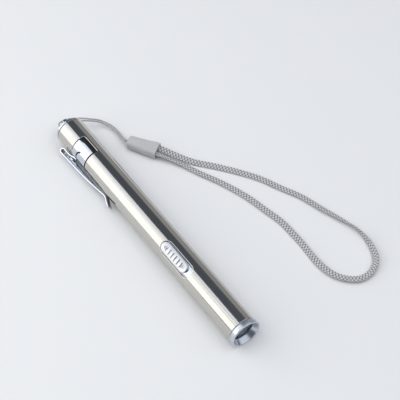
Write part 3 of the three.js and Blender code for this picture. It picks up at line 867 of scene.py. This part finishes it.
class PENLIGHT_OT_lanyard(bpy.types.Operator):
    """The string through the tail eye, the flat wrist strap and the silicone sleeve that joins them"""

    bl_idname = "penlight.lanyard"
    bl_label = "Lanyard"

    def execute(self, context):
        sizes, colours = settings(context)
        tree = braid_tree()
        yarn = finish("yarn", braid_yarn, tuple(colours.yarn), "Braided polyester yarn")

        points, length = smooth_route(STRING_ROUTE, 0.15)
        string = made_by(tree, "lanyard_string_piece", points * MM, [0] * len(points), {
            "Half Width": sizes.string_diameter / 2, "Half Height": sizes.string_diameter / 2,
            "Strands": 3.0, "Pitch": 0.9 * MM, "Relief": 0.1 * MM, "Sides": 18, "Material": yarn,
        })
        finish_piece(string, "barrel", "grey_braid", yarn, "lanyard_string")

        points, strap_length = smooth_route(STRAP_ROUTE, 0.2)
        rolls = [math.radians(r) for r in points[:, 3]]
        strap = made_by(tree, "lanyard_strap_piece", points[:, :3] * MM, rolls, {
            "Half Width": sizes.strap_width / 2, "Half Height": sizes.strap_thickness / 2,
            "Strands": float(sizes.strap_strands), "Pitch": sizes.strap_pitch,
            "Relief": sizes.strand_relief, "Sides": 48, "Material": yarn,
        })
        finish_piece(strap, "barrel", "grey_braid", yarn, "lanyard_strap")

        sleeve = self.sleeve()
        rubber = finish("silicone", soft_silicone, tuple(colours.silicone))
        finish_piece(sleeve, "barrel", "silicone", rubber, "lanyard_bead")
        return {"FINISHED"}

    def sleeve(self):
        """Soft and rounded at the string's end, wider and cut square at the strap's."""
        start, end = Vector(SLEEVE["start"]), Vector(SLEEVE["end"])
        length = (end - start).length
        along = (end - start) / length
        count = 56

        def ring(x, wide, tall, power):
            points = []
            for i in range(count):
                a = i / count * 2 * math.pi
                c, s = math.cos(a), math.sin(a)
                u = wide * math.copysign(abs(c) ** (2 / power), c)
                v = tall * math.copysign(abs(s) ** (2 / power), s)
                points.append(Vector((
                    start.x + along.x * x - along.y * u,
                    start.y + along.y * x + along.x * u,
                    SLEEVE["height"] + v,
                )) * MM)
            return points

        # The string's hole, from inside the sleeve out to the nose.
        rings = [
            ring(2.6, 0.95, 0.5, 2.0), ring(1.2, 0.95, 0.5, 2.0), ring(0.6, 1.0, 0.55, 2.0),
            ring(0.4, 1.15, 0.7, 2.0),
        ]
        for i in range(11):
            a = i / 10 * math.pi / 2
            side = math.sin(a) ** 0.65
            x = 0.35 + 1.35 * (1 - math.cos(a))
            rings.append(ring(x, 1.5 + 1.45 * side, 1.05 + 1.45 * side, 2.3 + 0.3 * side))
        for i in range(1, 15):
            t = i / 14
            x = 1.7 + (length - 1.9) * t
            # The wall draws in slightly where the doubled strap starts inside it.
            waist = -0.06 * math.exp(-((x - 7.0) / 2.6) ** 2)
            rings.append(ring(x, 2.95 + 0.75 * t + waist, 2.5 + 0.13 * t + waist, 2.6 + 0.5 * t))
        # The square end, and the flat hole that the doubled strap goes into.
        for back, wide, tall, power in (
            (0.08, 3.66, 2.6, 3.1), (0.02, 3.6, 2.54, 3.1), (0, 3.5, 2.45, 3.1), (0, 3.28, 1.35, 4.0),
            (0.06, 3.14, 0.98, 4.5), (0.25, 3.08, 0.93, 4.5), (2.6, 3.05, 0.9, 4.5),
        ):
            rings.append(ring(length - back, wide, tall, power))
        return loft("lanyard_sleeve_piece", rings, crisp=50)


class PENLIGHT_OT_barrel(bpy.types.Operator):
    """The brushed barrel with its switch slot and clip window"""

    bl_idname = "penlight.barrel"
    bl_label = "Barrel"

    def execute(self, context):
        sizes, colours = settings(context)
        steel = finish("barrel", satin_steel, tuple(colours.barrel))
        slot = racetrack(SLOT["start"], SLOT["end"], SLOT["width"], SWITCH_PHI * BARREL_R, steps=20)
        low, high = WINDOW["low"] * BARREL_R, WINDOW["high"] * BARREL_R
        # The flat sheet is laid out with the clip in its middle, so that its seam misses the window.
        window = rounded_corners([
            (WINDOW["start"], low, 1.3), (WINDOW["end"], low, 0.3),
            (WINDOW["end"], high, 0.5), (WINDOW["start"], high, 1.3),
        ])
        shift = CLIP_PHI * BARREL_R
        window = [(s, b - shift) for s, b in resampled(window, 0.4)]
        slot = [(s, b - shift) for s, b in resampled(slot, 0.4)]

        def place(s, b, r):
            return on_barrel(s, b + shift, r)

        barrel = panel(
            "barrel_piece", place, BARREL_ENDS, [slot, window], BARREL_R, BORE_R,
            sizes.sheet_rim / MM, (1.6, 0.34), tube=True,
        )
        finish_piece(barrel, "barrel", "brushed_steel", steel, "barrel_tube")
        liner = turned("liner_piece", [
            (7.5, 5.25, 0), (7.5, 5.95, 0.15), (75, 5.95, 0.15), (75, 5.25, 0),
        ], 96)
        plastic = finish("liner", plain_finish, "Moulded polypropylene", "#1c1c1e", 0.32, depth=0.1)
        finish_piece(liner, "barrel", "black_plastic", plastic, "battery_liner")
        return {"FINISHED"}


class PENLIGHT_OT_tail(bpy.types.Operator):
    """The polished tail plug with the lanyard eye, and the coil spring inside it"""

    bl_idname = "penlight.tail"
    bl_label = "Tail"

    def execute(self, context):
        _, colours = settings(context)
        polish = finish("polish", mirror_steel, tuple(colours.polish))
        plug = turned("tail_plug_piece", [
            (0, 0, 0), (0, 5.2, 0), (0.12, 5.35, 0.1), (0.12, 5.6, 0.1), (0, 5.75, 0), (0, 6.4, 0.35),
            (1.0, 6.4, 0.12), (1.0, 6.0, 0), (2.6, 6.0, 0), (2.6, 5.0, 0), (4.0, 5.0, 0), (4.0, 6.0, 0),
            (7.2, 6.0, 0.2), (7.2, 3.7, 0.1), (3.0, 3.7, 0), (3.0, 0, 0),
        ], 128)
        finish_piece(plug, "barrel", "polished_steel", polish, "tail_plug")
        outline = resampled(rounded_corners([
            (0.9, -2.6, 0.6), (0.9, 2.6, 0.6), (-4.6, 2.6, 1.4), (-4.6, -2.6, 1.4),
        ], 8), 0.3)
        hole = resampled(rounded_corners([
            (-0.4, -1.3, 0.4), (-0.4, 1.3, 0.4), (-2.6, 1.3, 0.4), (-2.6, -1.3, 0.4),
        ], 5), 0.25)
        eye = panel("tail_eye_piece", on_eye, outline, [hole], 1.0, -1.0, 0.3, (0.35, 0.35), both=True)
        finish_piece(eye, "barrel", "polished_steel", polish)

        wire = finish("wire", mirror_steel, linear("#b9bcc0"), "Drawn spring steel", 0.22)
        spring = made_by(spring_tree(), "battery_spring_piece", [(0, 0, 0), (0, 0, MM)], [0, 0], {
            "Turns": 4.0, "Material": wire,
        })
        # The tree winds its coil up Z from the origin; it is laid along the barrel's axis.
        start = Matrix.Translation((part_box("battery_spring")[0].x + 0.3 * MM, AXIS_Y, AXIS_Z))
        spring.data.transform(start @ Matrix.Rotation(math.pi / 2, 4, "Y"))
        finish_piece(spring, "barrel", "spring_steel", wire, "battery_spring")
        return {"FINISHED"}


class PENLIGHT_OT_clip(bpy.types.Operator):
    """The sprung clip: its saddle in the window, the fold at the tail and the long arm"""

    bl_idname = "penlight.clip"
    bl_label = "Clip"

    def execute(self, context):
        sizes, colours = settings(context)
        polish = finish("polish", mirror_steel, tuple(colours.polish))
        finish_piece(self.saddle(sizes), "barrel", "polished_steel", polish, "clip_saddle")
        arm = self.arm()
        finish_piece(arm, None, "polished_steel", polish, "clip_arm")
        # The bend is taken up in the fold, between the root and the arm, which lean towards each other.
        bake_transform(arm)
        return {"FINISHED"}

    def saddle(self, sizes):
        """The plate that closes most of the window, with a tongue cut out of it and pressed up."""
        low, high = math.radians(11.6) * BARREL_R, math.radians(225) * BARREL_R
        step_in = math.radians(18) * BARREL_R
        outline = resampled(rounded_corners([
            (SADDLE["start"], step_in, 0.5), (14.0, step_in, 1.5), (16.6, low, 1.5),
            (SADDLE["end"], low, 0.4), (SADDLE["end"], high, 0.4), (SADDLE["start"], high, 0.4),
        ]), 0.4)
        # The cut is a narrow C open to the lens end.
        middle = math.radians(75) * BARREL_R
        half = math.radians(23) * BARREL_R
        cut = []
        arc_s, depth, wide = 17.7, 1.8, 0.75
        for edge, order in ((wide / 2, 1), (-wide / 2, -1)):
            row = []
            for i in range(25):
                a = math.radians(-90 + 180 * i / 24)
                row.append((arc_s - (depth + edge) * math.cos(a), middle + (half + edge) * math.sin(a)))
            cut += row[::order]
        area = sum(p[0] * q[1] - q[0] * p[1] for p, q in zip(cut, cut[1:] + cut[:1]))
        if area < 0:
            cut = cut[::-1]

        def bump(s, b):
            """The tongue stands proud at its cut end and runs out to nothing."""
            u = (b - middle) / (half * 0.95)
            v = (s - (arc_s - depth)) / 3.6
            if abs(u) >= 1 or v <= 0 or v >= 1:
                return 0.0
            behind = 1 - ((s - arc_s) / depth) ** 2 - ((b - middle) / half) ** 2
            if s < arc_s and behind <= 0:
                return 0.0
            return 0.1 * (1 - u * u) ** 1.5 * (math.cos(v * math.pi / 2) ** 2)

        return panel(
            "clip_saddle_piece", on_barrel, outline, [cut], BARREL_R, 6.25, 0.07, (0.28, 0.28), height=bump,
        )

    def arm(self):
        """One strip from under the saddle, round the fold and down to the lifted tip."""
        root = [
            (15.4, 6.25), (14.8, 6.28), (14.2, 6.36), (13.6, 6.52), (13.0, 6.74), (12.4, 6.94), (11.8, 7.09),
            (11.1, 7.19), (10.2, 7.24), (9.0, 7.25), (8.0, 7.25),
        ]
        line = list(root)
        for i in range(19):
            a = -math.pi / 2 - math.pi * i / 18
            line.append((
                HAIRPIN["s"] + HAIRPIN["r"] * math.cos(a), HAIRPIN["height"] + HAIRPIN["r"] * math.sin(a),
            ))
        arm_start = len(line)
        route, _ = smooth_route([
            (7.1, 9.35, 0), (10.0, 9.24, 0), (14.6, 9.07, 0), (20, 8.84, 0), (26.8, 8.47, 0), (30.5, 8.08, 0),
            (33.1, 7.79, 0), (36.0, 7.43, 0), (37.6, 7.24, 0), (38.8, 7.16, 0), (39.6, 7.2, 0),
            (40.3, 7.4, 0), (41.0, 7.72, 0), (42.4, 8.3, 0), (44.3, 9.08, 0),
        ], 0.3)
        line += [(p[0], p[1]) for p in route[1:]]
        half_t, half_w = CLIP_THICKNESS / 2, CLIP_WIDTH / 2
        edge, plate, groove = 0.16, 0.5, 0.34

        def flange(s, n):
            """How deep the turned-in edges reach below the strip."""
            low = 7.85 - 0.25 * max(0.0, (s - 20) / 12)
            start = min(1.0, max(0.0, (s - 10.4) / 1.2))
            end = min(1.0, max(0.0, (32.2 - s) / 1.4))
            return max(n - half_t - low, 0.0) * math.sqrt(start * (2 - start)) * end * end * (3 - 2 * end)

        rings = []
        for i, (s, n) in enumerate(line):
            before, after = line[max(i - 1, 0)], line[min(i + 1, len(line) - 1)]
            ds, dn = after[0] - before[0], after[1] - before[1]
            up_s, up_n = -dn / math.hypot(ds, dn), ds / math.hypot(ds, dn)
            deep = flange(s, n) if i >= arm_start else 0.0
            grown = min(1.0, deep / 0.5)
            # Half of the section, from the middle of the outer face to the middle of the inner one.
            half = [(0.0, half_t), (half_w * 0.6, half_t)]
            half += [
                (half_w - edge + edge * math.sin(a), half_t - edge + edge * math.cos(a))
                for a in (j / 5 * math.pi / 2 for j in range(6))
            ]
            half += [
                (half_w - edge + edge * math.cos(a), -half_t + edge - edge * math.sin(a))
                for a in (j / 3 * math.pi / 2 * (1 - 0.3 * grown) for j in range(4))
            ]
            outer, low = half_w - 0.04, -half_t - deep
            half += [
                (half_w - edge - 0.3 * grown, -half_t - 0.01 * grown),
                (half_w - edge - 0.36 * grown, -half_t - 0.5 * groove * grown),
                (half_w - edge - 0.3 * grown, -half_t - (groove - 0.02) * grown),
                (outer - edge + 0.08 * grown, -half_t - groove * grown),
                (outer - (edge - 0.02) * (1 - grown), -half_t - min((groove + 0.07) * grown, deep)),
                (outer + 0.12 * grown - (edge - 0.02) * (1 - grown), (low - half_t - groove * grown) / 2),
                (outer - (edge - 0.02) * (1 - grown), low + min(0.13, deep * 0.3)),
                (outer - edge + 0.1 * grown, low + min(0.03, deep * 0.1)),
                (outer - edge, low),
                (outer - plate + 0.12, low),
                (outer - plate, low + min(0.12, deep * 0.3)),
                (outer - plate, -half_t),
                (0.0, -half_t),
            ]
            ring = []
            for u, v in half + [(-u, v) for u, v in half[-2:0:-1]]:
                point, _, across, _ = on_barrel(s + up_s * v, CLIP_PHI * BARREL_R, n + up_n * v)
                ring.append(point + across * (u * MM))
            rings.append(ring)
        return loft("clip_arm_piece", rings, crisp=42)


class PENLIGHT_OT_switch(bpy.types.Operator):
    """The slide switch: a satin knob with finger marks, and the polished shutter under it"""

    bl_idname = "penlight.switch"
    bl_label = "Switch"

    def execute(self, context):
        sizes, colours = settings(context)
        satin = finish("knob", satin_steel, tuple(colours.knob), "Satin nickel plate", 0.3, 0.5)
        polish = finish("polish", mirror_steel, tuple(colours.polish))
        middle_b = SWITCH_PHI * BARREL_R
        middle_s = (KNOB["start"] + KNOB["end"]) / 2
        depth = sizes.groove_depth / MM
        outline = resampled(racetrack(KNOB["start"], KNOB["end"], KNOB["width"], middle_b, steps=18), 0.25)

        def groove(gap, half):
            return max(0.0, 1 - (gap / half) ** 2) ** 0.8 if gap < half else 0.0

        def marks(s, b):
            """Four finger lines, and at each end a triangle cut round a small raised middle."""
            u = b - middle_b
            deepest = 0.0
            for centre in (-3, -1, 1, 3):
                if abs(s - middle_s - centre) < 0.4 and abs(u) < 1.35:
                    end = min(1.0, (1.35 - abs(u)) / 0.2)
                    deepest = max(deepest, groove(abs(s - middle_s - centre), 0.32) * end)
            for direction in (-1, 1):
                v = direction * (s - middle_s) - 5.5
                if abs(v) < 1.3 and abs(u) < 1.3:
                    inner = max(-(v + 0.55), (v + 2 * abs(u) - 0.95) / math.sqrt(5))
                    deepest = max(deepest, groove(abs(inner), 0.28))
            return -depth * deepest

        knob = panel(
            "switch_knob_piece", on_barrel, outline, [], KNOB["outer"], KNOB["inner"],
            sizes.knob_rim / MM, (0.11, 0.11), height=marks,
        )
        finish_piece(knob, "switch", "brushed_steel", satin, "switch_knob")
        half = math.radians(36) * BARREL_R
        shutter = panel("switch_shutter_piece", on_barrel, resampled(rounded_corners([
            (75.4, middle_b - half, 0.4), (98.5, middle_b - half, 0.4),
            (98.5, middle_b + half, 0.4), (75.4, middle_b + half, 0.4),
        ]), 0.6), [], 5.95, 5.65, 0.06, (0.8, 0.3))
        finish_piece(shutter, "switch", "polished_steel", polish, "switch_shutter")
        return {"FINISHED"}


class PENLIGHT_OT_head(bpy.types.Operator):
    """The lens end: bezel, lens, reflector and light-emitting chip"""

    bl_idname = "penlight.head"
    bl_label = "Head"

    def execute(self, context):
        _, colours = settings(context)
        polish = finish("turning", mirror_steel, tuple(colours.polish), "Turned stainless steel", 0.28)
        bezel = turned("bezel_piece", [
            (124.6, 5.3, 0), (124.6, 6.0, 0.1), (128.6, 6.0, 0), (128.7, 6.62, 0.05), (128.82, 6.8, 0.12),
            (PEN_LENGTH, 6.8, 0.28), (PEN_LENGTH, 6.15, 0.16), (129.3, 5.3, 0.3), (128.75, 4.95, 0.06),
            (128.2, 4.95, 0.05), (128.2, 5.3, 0),
        ], 160)
        finish_piece(bezel, "bezel", "polished_steel", polish, "bezel_ring")
        dome = [(127.9 + 0.5 * t * (2 - t), 4.6 * (1 - t), 0) for t in (i / 10 for i in range(11))]
        lens = turned("lens_piece", [(126.6, 0, 0), (126.6, 5.1, 0.05), (127.8, 5.1, 0.05)] + dome, 128)
        finish_piece(lens, "bezel", "clear_glass", finish("glass", lens_glass), "lens")
        inner = [(115.6 + 10 * t, 1.7 + 3.0 * math.sqrt(t), 0) for t in ((i / 14) ** 1.4 for i in range(15))]
        outer = [(s, r + 0.42, 0) for s, r, _ in inner]
        reflector = turned("reflector_piece", [inner[0]] + outer + inner[:0:-1], 128)
        coat = finish("coat", mirror_steel, linear("#d2d6da"), "Vacuum-coated reflector", 0.08)
        finish_piece(reflector, "barrel", "mirror_coat", coat, "reflector")
        dome_s, dome_r = 115.3, 1.2
        outline = [(114.6, 0, 0), (114.6, 1.5, 0.05), (115.2, 1.5, 0.1), (dome_s, dome_r, 0)]
        for i in range(1, 8):
            a = i / 8 * math.pi / 2
            outline.append((dome_s + dome_r * math.sin(a), dome_r * math.cos(a), 0))
        chip = turned("led_emitter_piece", outline + [(dome_s + dome_r, 0, 0)], 64)
        resin = finish("chip", plain_finish, "Phosphor resin", "#e8cf6a", 0.2, scale=6000.0)
        finish_piece(chip, "barrel", "emitter_resin", resin, "led_emitter")
        return {"FINISHED"}


class PENLIGHT_OT_inside(bpy.types.Operator):
    """Finishes for the pieces inside the barrel, which keep their solid shapes"""

    bl_idname = "penlight.inside"
    bl_label = "Inside"

    def execute(self, context):
        rubber = ("rubber", "Nitrile rubber", "#161616", 0.7, 0.0)
        brass = ("brass", "Rolled brass", "#c9a552", 0.26, 1.0)
        black = ("black", "Moulded ABS", "#1a1b1e", 0.5, 0.0)
        board = ("board", "Solder mask on glass laminate", "#1f5a3a", 0.45, 0.0)
        sleeve = ("cell", "Printed shrink film", "#2f5c46", 0.3, 0.0)
        alloy = ("alloy", "Turned aluminium", "#c4c6c8", 0.34, 1.0)
        for node, (key, name, shade, roughness, metallic) in {
            "tail_seal_ring": rubber, "lens_seal_ring": rubber, "switch_wiper": brass, "lead_strip": brass,
            "positive_contact": brass, "front_insulator": black, "led_board": board, "driver_board": board,
            "battery_cell_rear": sleeve, "battery_cell_front": sleeve, "led_housing": alloy,
        }.items():
            material = finish(key, plain_finish, name, shade, roughness, metallic)
            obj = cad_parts[node]
            for place in obj.material_slots:
                place.material = material
        return {"FINISHED"}


STEPS = (
    PENLIGHT_OT_stage, PENLIGHT_OT_lanyard, PENLIGHT_OT_barrel, PENLIGHT_OT_tail, PENLIGHT_OT_clip,
    PENLIGHT_OT_switch, PENLIGHT_OT_head, PENLIGHT_OT_inside,
)


class PENLIGHT_PT_panel(bpy.types.Panel):
    """Steps and settings of the penlight"""

    bl_idname = "PENLIGHT_PT_panel"
    bl_label = "Penlight"
    bl_space_type = "VIEW_3D"
    bl_region_type = "UI"
    bl_category = "Penlight"

    def draw(self, context):
        for group in settings(context):
            box = self.layout.box()
            for name in group.bl_rna.properties.keys():
                if name not in {"rna_type", "name"}:
                    box.prop(group, name)
        for step in STEPS:
            self.layout.operator(step.bl_idname)


CLASSES = (PENLIGHT_PG_sizes, PENLIGHT_PG_colours, *STEPS, PENLIGHT_PT_panel)


def register():
    for entry in CLASSES:
        bpy.utils.register_class(entry)
    bpy.types.Scene.penlight_sizes = bpy.props.PointerProperty(type=PENLIGHT_PG_sizes)
    bpy.types.Scene.penlight_colours = bpy.props.PointerProperty(type=PENLIGHT_PG_colours)


def unregister():
    del bpy.types.Scene.penlight_colours
    del bpy.types.Scene.penlight_sizes
    for entry in reversed(CLASSES):
        bpy.utils.unregister_class(entry)


def main():
    register()
    for step in STEPS:
        group, name = step.bl_idname.split(".")
        getattr(getattr(bpy.ops, group), name)()


if __name__ == "__main__":
    main()
